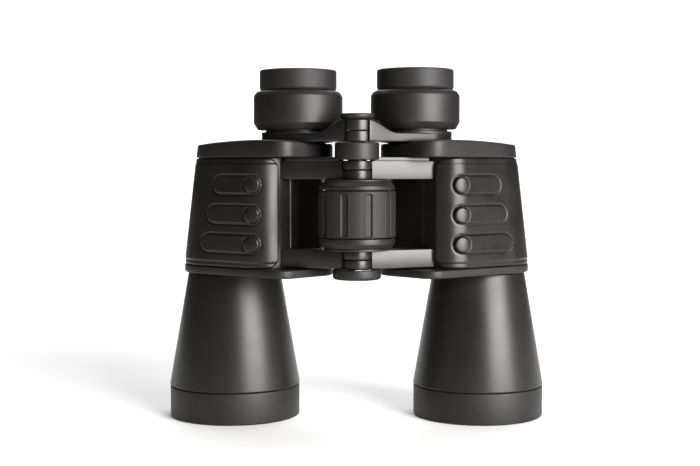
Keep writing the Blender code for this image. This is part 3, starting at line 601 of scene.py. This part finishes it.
# The armour is a skin over the housing's plan line. Its thickness at a point is the pad's own,
# rolled off as a quarter circle at the rim, less a shallow border, plus three long ovals with a
# fine channel round each and a round button at the inner end of each.
def armourPad(side):
    values, housing = padValues, housingValues
    points, angle = planLine(planValues["housingClear"], planValues["housingCorners"], 40)
    steps = len(points) // 4
    order = np.r_[3 * steps:4 * steps, 0:steps]
    ordered = points[order]
    turns = np.unwrap(angle[order])
    farNormal = math.radians(planValues["angles"][3])
    edgeX = housing["padEdge"]
    farStart = np.array([[edgeX, ordered[0, 1] + (ordered[0, 0] - edgeX)
                          * math.cos(farNormal) / math.sin(farNormal)]])
    innerEnd = points[steps:steps + 1]
    wholeLine = np.vstack([farStart, ordered, innerEnd])
    wholeTurn = np.concatenate([[turns[0]], turns, [turns[-1]]])
    reach = np.concatenate([[0], np.cumsum(np.linalg.norm(np.diff(wholeLine, axis=0), axis=1))])
    last = np.nonzero(wholeLine[:, 0] < edgeX)[0][-1]
    share = (edgeX - wholeLine[last, 0]) / (wholeLine[last + 1, 0] - wholeLine[last, 0])
    total = reach[last] + share * (reach[last + 1] - reach[last])
    nearStart = reach[1 + steps - 1]
    corner = housing["padCorner"]
    farRound = corner * (1 - np.cos(np.linspace(0, np.pi / 2, 14)))
    stops = np.concatenate([
        farRound, np.arange(corner + 0.5, nearStart, values["coarse"]),
        np.arange(nearStart, total - corner - 0.1, values["fine"]), total - farRound[::-1],
    ])
    spot = np.stack([np.interp(stops, reach, wholeLine[:, i]) for i in (0, 1)], 1)
    turn = np.interp(stops, reach, wholeTurn)
    normal = np.stack([np.cos(turn), np.sin(turn)], 1)
    fromEnd = np.minimum(np.minimum(stops, total - stops), corner)
    trim = corner - np.sqrt(np.maximum(corner ** 2 - (corner - fromEnd) ** 2, 0))
    low, high = bodyBottom + 0.3, bodyTop - 0.3
    rolled = np.array([0, 0.004, 0.012, 0.024])
    share = np.concatenate([rolled, np.linspace(0.034, 0.966, 138), 1 - rolled[::-1]])
    along = stops[:, None] + 0 * share[None]
    height = (low + trim)[:, None] + (high - low - 2 * trim)[:, None] * share[None]
    # distance in from the pad's rounded rim
    halfLong, halfHigh = total / 2, (high - low) / 2
    dx = np.abs(along - halfLong) - (halfLong - corner)
    dz = np.abs(height - (low + high) / 2) - (halfHigh - corner)
    outside = np.hypot(np.maximum(dx, 0), np.maximum(dz, 0)) + np.minimum(np.maximum(dx, dz), 0)
    inward = np.maximum(corner - outside, 0)
    rim = np.clip(inward / values["edge"], 0, 1)
    thickness = values["thickness"] * (0.12 + 0.88 * np.sqrt(1 - (1 - rim) ** 2))
    fromTop = np.minimum(height - low, high - height)
    thickness -= values["borderDrop"] * (1 - smoothStep((fromTop - values["border"]) / 0.6)) * (
        smoothStep(rim))
    # the ovals, measured sideways from the middle of the binoculars
    beside = -spot[:, 0][:, None] + 0 * share[None]
    near = (stops >= nearStart - 1)[:, None]
    for level, reachOut in values["ridges"]:
        half = values["ridgeHalf"]
        inner = values["ridgeStart"]
        nearest = np.clip(beside, inner + half, reachOut - half)
        distance = np.hypot(beside - nearest, height - level) - half
        raised = smoothStep(0.5 - distance / values["ridgeRun"])
        channel = values["channel"] * np.exp(-((distance - 0.55) / 0.38) ** 2)
        fromButton = np.hypot(beside - inner - half, height - level) - values["button"]
        button = smoothStep(0.5 - fromButton / values["buttonRun"])
        moat = 0.22 * np.exp(-((fromButton - 0.42) / 0.28) ** 2) * (distance < 0)
        dome = 0.18 * (1 - np.clip(fromButton / values["button"] + 1, 0, 1) ** 2)
        thickness += near * (values["ridgeRise"] * raised - channel
                             + (values["buttonRise"] + dome) * button - moat)
    front = spot[:, None] + normal[:, None] * (thickness - values["thickness"])[..., None]
    back = spot - normal * values["thickness"]
    backShare = np.array([1.0, 0.667, 0.333, 0.0])
    backHeight = (low + trim)[:, None] + (high - low - 2 * trim)[:, None] * backShare[None]
    plan = np.concatenate([front, np.repeat(back[:, None], 4, 1)], 1)
    allHeights = np.concatenate([height, backHeight], 1)
    grid = np.dstack([inWorld(plan, side), allHeights])
    made = gridPiece(side + "ArmourPad", leaned(grid, side), wrapV=True, caps=True, sharpAngle=50)
    placed(made, side + "_half", "armour_rubber", side + "_armour_pad")


for side in sides:
    plates(side)
    housingShell(side)
    arms(side)
    armourPad(side)
print("housings, plates, arms and armour made")


# ---- eyepieces and bridge ----

ringValues = {"top": 18.1, "bevel": 19.5, "shoulder": 2.5, "chamfer": 3.0, "foot": 18.8,
              "inner": 15.3, "neck": 17.0, "travel": 1.1}
cupValues = {"rim": 16.1, "inner": 15.6, "floor": 4.1, "step": 0.8, "eye": 10.8,
             "bowl": (13.4, 5.9), "bowlTop": 15.1}
tubeValues = {"outer": 15.0, "inner": 13.1}
lensCellValues = {"flange": 14.9, "flangeFoot": 10.4, "barrel": 12.8, "mouth": 10.6, "bore": 11.6,
                  "lowLip": 1.6, "highLip": 9.4}
eyeGlass = {"radius": 10.3, "lowBulge": 0.6, "highBulge": 1.5}
fieldGlass = {"radius": 11.3, "lowBulge": 0.8, "highBulge": 1.6}


def eyepieces(side):
    axis = eyeAxis[side]
    bridge = side + "_bridge"
    if side == "left":
        ringName, ringBody, cellBody = "left_dioptre_ring", "left_dioptre", "left_cell"
    else:
        ringName, ringBody, cellBody = "right_eyepiece_ring", bridge, bridge
    low, high = heights(ringName)
    ringFoot = low
    outer = radiusOf(ringName)
    inner = ringValues["inner"]
    ring = turned(side + "EyepieceRing", [
        (ringValues["top"], high, 0.4), (ringValues["bevel"], high - 0.7, 1.2),
        (outer, high - ringValues["shoulder"], 1.2), (outer, low + ringValues["chamfer"], 0.9),
        (ringValues["foot"], low, 0.5), (inner, low, 0.2), (inner, high, 0.2),
    ], axis, around=144)
    placed(ring, ringBody, "black_plastic", ringName)
    low, high = heights(side + "_eyecup")
    outer = radiusOf(side + "_eyecup")
    cup = cupValues
    seat = low + cup["floor"]
    eyecup = turned(side + "Eyecup", [
        (cup["rim"], high, 0.5), (outer, high, 1.5), (outer, low + 0.9, 0.3),
        (outer - 0.5, low, 0.2), (cup["inner"], low, 0.1), (cup["inner"], seat, 0.1),
        (cup["eye"], seat, 0.2), (cup["eye"], seat + cup["step"], 0.3),
        (cup["bowl"][0], low + cup["bowl"][1], 1.2), (cup["bowlTop"], high - 0.9, 0.8),
    ], axis, around=144, steps=6)
    placed(eyecup, ringBody, "soft_rubber", side + "_eyecup")
    low, high = heights(side + "_eyepiece_tube")
    tube = turned(side + "EyepieceTube", [
        (tubeValues["outer"], high, 0.3), (tubeValues["outer"], low, 0.4),
        (tubeValues["inner"], low, 0.3), (tubeValues["inner"], high, 0.2),
    ], axis, around=112)
    placed(tube, bridge, "black_plastic", side + "_eyepiece_tube")
    neck = turned(side + "EyepieceNeck", [
        (ringValues["neck"], ringFoot - ringValues["travel"], 0.3),
        (ringValues["neck"], bridgeValues["thinTop"] - 0.6, 0.1),
        (ringValues["inner"], bridgeValues["thinTop"] - 0.6, 0.1),
        (ringValues["inner"], ringFoot - ringValues["travel"], 0.2),
    ], axis, around=112)
    placed(neck, bridge, "black_plastic", side + "_eyepiece_tube")
    low, high = heights(side + "_lens_cell")
    part = lensCellValues
    cell = turned(side + "LensCell", [
        (part["flange"], high, 0.2), (part["flange"], low + part["flangeFoot"], 0.2),
        (part["barrel"], low + part["flangeFoot"], 0.2), (part["barrel"], low, 0.3),
        (part["mouth"], low, 0.2), (part["mouth"], low + part["lowLip"], 0.1),
        (part["bore"], low + part["lowLip"], 0.1), (part["bore"], low + part["highLip"], 0.1),
        (part["mouth"], low + part["highLip"], 0.1), (part["mouth"], high, 0.3),
    ], axis, around=96)
    placed(cell, cellBody, "anodised", side + "_lens_cell")
    low, high = heights(side + "_eye_lens")
    lensPiece(side + "EyeLens", axis, eyeGlass["radius"], low, low + eyeGlass["lowBulge"],
              high - eyeGlass["highBulge"], high, cellBody, side + "_eye_lens")
    low, high = heights(side + "_field_lens")
    lensPiece(side + "FieldLens", axis, fieldGlass["radius"], low,
              low + fieldGlass["lowBulge"], high - fieldGlass["highBulge"], high, cellBody,
              side + "_field_lens")


bridgeValues = {
    "knuckle": 7.6, "bore": 3.4, "relief": 7.95, "hole": 15.3, "ring": 17.0, "ringArc": (8, 241),
    "corner": (-5.4, -7.0), "neck": (-6.05, 12.7), "thinTop": 134.4, "fallStart": 9.0,
    "fallSpan": 9.5, "bevel": 0.6, "webHalf": 5.0, "web": (6.6, 9.2), "split": 0.15,
}


# A short box between two distances from the hub, along the way to the eyepiece.
def webPiece(name, side, start, end, low, high, half):
    eye = eyeAxis[side] - hingeAxis
    along = eye / np.linalg.norm(eye)
    out = np.array([-along[1], along[0]])
    far = np.linspace(start, end, 4)
    section = softened([(1, 0, 0.14), (1, 1, 0.14), (-1, 1, 0.14), (-1, 0, 0.14)], 4)
    plan = (hingeAxis + along * far[:, None])[:, None] + out * section[None, :, :1] * half
    height = low + section[None, :, 1] * (high - low) + 0 * far[:, None]
    return gridPiece(name, np.dstack([plan, height]), wrapV=True, caps=True)


# One casting: the ring round the eyepiece runs straight into a flat front face that ends beside
# the knuckle, and its top falls away from the knuckle as a quarter sine of the distance.
def bridgeArm(side):
    values, axis, body = bridgeValues, eyeAxis[side], side + "_bridge"
    node = side + "_bridge_arm"
    low, high = heights(node)
    middle = (low + high) / 2
    outline = np.vstack([
        arcPoints(planValues["eyepiece"], values["ring"], *values["ringArc"], 60),
        [values["corner"]], arcPoints((0, 0), values["relief"], 218, 124, 20), [values["neck"]],
    ])
    line, normal = smoothLine(outline, 0.5, 0.35)

    def falling(x, y):
        fromHub = np.hypot(x - hingeAxis[0], y - hingeAxis[1])
        share = np.clip((fromHub - values["fallStart"]) / values["fallSpan"], 0, 1)
        return -(high - values["thinTop"]) * np.sin(share * np.pi / 2)

    mirror = np.array([-sides[side], 1])
    arm = slab(side + "BridgeArm", inWorld(line, side), normal * mirror, low, high, axis,
               hole=values["hole"], bevel=values["bevel"], crown=falling, across=30)
    placed(arm, body, "cast_paint", node)
    ends = (low, middle - values["split"]) if side == "left" else (
        middle + values["split"], high)
    eye = turned(side + "BridgeKnuckle", [
        (values["knuckle"], ends[1], 0.35), (values["knuckle"], ends[0], 0.35),
        (values["bore"], ends[0], 0.15), (values["bore"], ends[1], 0.15),
    ], hingeAxis, around=80)
    placed(eye, body, "cast_paint", node)
    web = webPiece(side + "BridgeWeb", side, *values["web"], *ends, values["webHalf"])
    placed(web, body, "cast_paint", node)


for side in sides:
    eyepieces(side)
    bridgeArm(side)
print("eyepieces and bridge made")


# ---- hinge, focusing knob and caps ----

knobValues = {
    "slots": 10, "slotShare": 0.28, "slotDepth": 0.85, "slotLow": 0.7, "slotHigh": 1.3,
    "slotTurn": 19, "slotEdge": 0.32, "around": 576, "rows": 96,
    "slotRound": 0.7, "bore": 4.5, "core": 14.4, "gripInner": 14.7, "flange": (3.6, 4.4),
    "shoulder": 1.9, "lowShoulder": 1.7,
}


def knob():
    values = knobValues
    topFlange, lowFlange = values["flange"]
    low, high = heights("focus_knob")
    outer = radiusOf("focus_knob")
    body = turned("focusKnob", [
        (outer - values["shoulder"], high, 0.8), (outer, high - values["shoulder"], 0.8),
        (outer, high - topFlange, 0.35), (values["core"], high - topFlange, 0.2),
        (values["core"], low + lowFlange, 0.2), (outer, low + lowFlange, 0.35),
        (outer, low + values["shoulder"], 0.8), (outer - values["lowShoulder"], low, 0.8),
        (values["bore"], low, 0.2), (values["bore"], high, 0.2),
    ], hingeAxis, around=144)
    placed(body, "knob", "black_plastic", "focus_knob")


# The grip's radius is its land's, less a slot's depth inside each of ten upright rounded boxes
# (the distance to a box's rounded edge turns into a smooth step).
def grip():
    values = knobValues
    low, high = heights("knob_grip")
    outer = radiusOf("knob_grip")
    angle = np.linspace(0, 2 * np.pi, values["around"], endpoint=False)[:, None]
    bevel = 0.5 * (1 - np.cos(np.linspace(0, np.pi / 2, 5)))
    height = np.concatenate([low + bevel, np.linspace(low + 0.6, high - 0.6, values["rows"]),
                             (high - bevel)[::-1]])[None]
    fromEdge = np.minimum(np.minimum(height - low, high - height), 0.5)
    roll = 0.5 - np.sqrt(0.25 - (0.5 - fromEdge) ** 2)
    pitch = 2 * np.pi / values["slots"]
    around = (np.mod(angle + math.radians(values["slotTurn"]), pitch) - pitch / 2) * outer
    halfWide = values["slotShare"] * pitch * outer / 2
    halfHigh = (high - low - values["slotLow"] - values["slotHigh"]) / 2
    middle = (low + values["slotLow"] + high - values["slotHigh"]) / 2
    slotRound = values["slotRound"]
    dx = np.abs(around) - (halfWide - slotRound)
    dz = np.abs(height - middle) - (halfHigh - slotRound)
    distance = (np.hypot(np.maximum(dx, 0), np.maximum(dz, 0))
                + np.minimum(np.maximum(dx, dz), 0) - slotRound)
    sunk = values["slotDepth"] * smoothStep(0.5 - distance / values["slotEdge"])
    lip = 0.10 * np.exp(-((distance - 0.35) / 0.25) ** 2)
    radius = outer - 0.1 - roll - sunk + lip
    back = np.full((len(angle), 2), values["gripInner"])
    radius = np.concatenate([radius, back], 1)
    height = np.concatenate([height + 0 * angle, np.tile([high, low], (len(angle), 1))], 1)
    grid = np.stack([hingeAxis[0] + radius * np.cos(angle), hingeAxis[1] + radius * np.sin(angle),
                     height], -1)
    made = gridPiece("knobGrip", grid, wrapU=True, wrapV=True, sharpAngle=60)
    placed(made, "knob", "soft_rubber", "knob_grip")


hingeValues = {
    "bore": 4.5, "washer": 15.0, "washerCover": 0.25, "dish": 0.25, "dishRim": (1.6, 2.0),
    "stud": 3.1, "flangeUnder": 8.4, "studFoot": 1.5, "skirt": 4.5, "footDish": (6.4, 6.0, 0.4),
}


def hingeParts():
    values = hingeValues
    bore, cover = values["bore"], values["washerCover"]
    low, high = heights("hinge_collar")
    outer = radiusOf("hinge_collar")
    collar = turned("hingeCollar", [
        (outer, high, 0.9), (outer, low, 0.5), (bore, low, 0.2), (bore, high, 0.2),
    ], hingeAxis, around=96)
    placed(collar, "hinge", "cover_paint", "hinge_collar")
    for word in ("lower", "upper"):
        low, high = heights(word + "_knob_washer")
        disc = turned(word + "KnobWasher", [
            (values["washer"], high + cover, 0.3), (values["washer"], low - cover, 0.3),
            (bore, low - cover, 0.1), (bore, high + cover, 0.1),
        ], hingeAxis, around=96)
        placed(disc, "hinge", "black_plastic", word + "_knob_washer")
    low, high = heights("bridge_cap")
    outer = radiusOf("bridge_cap")
    cap = turnedSolid("bridgeCap", [
        (0, low, 0.1), (outer - 0.9, low, 0.4), (outer, low + 1.0, 0.4), (outer, high, 0.7),
        (outer - values["dishRim"][0], high, 0.4),
        (outer - values["dishRim"][1], high - values["dish"], 0.2),
        (0, high - values["dish"], 0.1),
    ], hingeAxis, around=80)
    placed(cap, "focus_carriage", "cover_paint", "bridge_cap")
    low, high = heights("tripod_cap")
    outer = radiusOf("tripod_cap")
    dishOuter, dishInner, dishDepth = values["footDish"]
    foot = turnedSolid("tripodCap", [
        (0, high, 0.1), (values["stud"], high, 0.4),
        (values["stud"], low + values["studFoot"], 0.2),
        (values["flangeUnder"], low + values["studFoot"], 0.2),
        (values["flangeUnder"], low + values["skirt"], 0.2),
        (outer, low + values["skirt"], 0.4), (outer, low, 1.5), (dishOuter, low, 0.3),
        (dishInner, low + dishDepth, 0.3), (0, low + dishDepth, 0.1),
    ], hingeAxis, around=96)
    placed(foot, "cap", "cover_paint", "tripod_cap")


knob()
grip()
hingeParts()
print("hinge and knob made")


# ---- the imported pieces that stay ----

keptFinishes = {
    "hinge_axle": "anodised", "hinge_nut": "steel", "focus_spindle": "anodised",
    "_guide_sleeve": "anodised",
    "_prism_shelf": "anodised", "_upper_prism": "optical_glass", "_lower_prism": "optical_glass",
}
for ending, finish in keptFinishes.items():
    for node in nodes.values():
        if node.name.endswith(ending):
            node.data.materials.clear()
            node.data.materials.append(finishes[finish])
print("inner pieces finished")


# ---- floor, light and camera ----

stageValues = {"floorShade": 0.86, "width": 2.3, "front": 0.6, "back": 2.2, "bend": 0.6,
               "wall": 2.4}


# The floor runs back, turns up in a quarter circle and carries on as the backdrop.
def backdrop():
    values = stageValues
    turn = np.linspace(0, np.pi / 2, 24)
    depth = np.concatenate([[-values["front"]], np.linspace(-0.5, values["back"], 12),
                            values["back"] + values["bend"] * np.sin(turn[1:]),
                            [values["back"] + values["bend"]]])
    height = np.concatenate([[0], np.zeros(12), values["bend"] * (1 - np.cos(turn[1:])),
                             [values["wall"]]])
    width = np.linspace(-values["width"] / 2, values["width"] / 2, 2)[:, None]
    grid = np.stack([width + 0 * depth, depth + 0 * width, height + 0 * width], -1) / mm
    made = gridPiece("backdrop", grid)
    shade = bpy.data.materials.new("backdropPaper")
    shade.use_nodes = True
    shader = shade.node_tree.nodes["Principled BSDF"]
    shader.inputs["Base Color"].default_value = (*[values["floorShade"]] * 3, 1)
    shader.inputs["Roughness"].default_value = 0.9
    shader.inputs["Specular IOR Level"].default_value = 0.1
    made.data.materials.append(shade)


def softbox(name, azimuth, elevation, distance, size, power, colour=(1, 1, 1), aim=(0, 0, 0.09)):
    light = bpy.data.lights.new(name, "AREA")
    light.shape = "RECTANGLE"
    light.size, light.size_y = size
    light.energy = power
    light.color = colour
    made = bpy.data.objects.new(name, light)
    bpy.context.scene.collection.objects.link(made)
    side, up = math.radians(azimuth), math.radians(elevation)
    direction = np.array([math.sin(side) * math.cos(up), -math.cos(side) * math.cos(up),
                          math.sin(up)])
    made.location = np.array(aim) + direction * distance
    made.rotation_euler = (math.pi / 2 - up, 0, side)
    return made


lightValues = {
    "key": dict(azimuth=41, elevation=12, distance=1.1, size=(0.74, 0.9), power=44,
                colour=(1, 0.975, 0.96)),
    "overhead": dict(azimuth=180, elevation=72, distance=2.2, size=(2.4, 2.0), power=44,
                     aim=(0, 0.4, 0)),
    "wall": dict(azimuth=0, elevation=60, distance=1.8, size=(3.0, 0.6), power=50,
                 aim=(0, 2.4, 0.4)),
}

backdrop()
for name, values in lightValues.items():
    softbox(name, **values)
world = bpy.data.worlds.new("studio")
world.use_nodes = True
world.node_tree.nodes["Background"].inputs["Color"].default_value = (1, 1, 1, 1)
# white where the camera sees past the floor, and nearly black for everything the pieces reflect
direct = world.node_tree.nodes.new("ShaderNodeLightPath")
strength = world.node_tree.nodes.new("ShaderNodeMapRange")
strength.inputs["To Min"].default_value = 0.04
world.node_tree.links.new(direct.outputs["Is Camera Ray"], strength.inputs["Value"])
world.node_tree.links.new(strength.outputs["Result"],
                          world.node_tree.nodes["Background"].inputs["Strength"])
bpy.context.scene.world = world
bpy.context.scene.view_settings.view_transform = "Standard"

cameraValues = {"place": (-0.0031, -0.57965, 0.119), "pitch": 86.95, "lens": 63.6}
lens = bpy.data.cameras.new("camera")
lens.lens = cameraValues["lens"]
lens.sensor_width = 36
lens.clip_start = 0.01
camera = bpy.data.objects.new("camera", lens)
camera.location = cameraValues["place"]
camera.rotation_euler = (math.radians(cameraValues["pitch"]), 0, 0)
bpy.context.scene.collection.objects.link(camera)
bpy.context.scene.camera = camera
print("stage set")
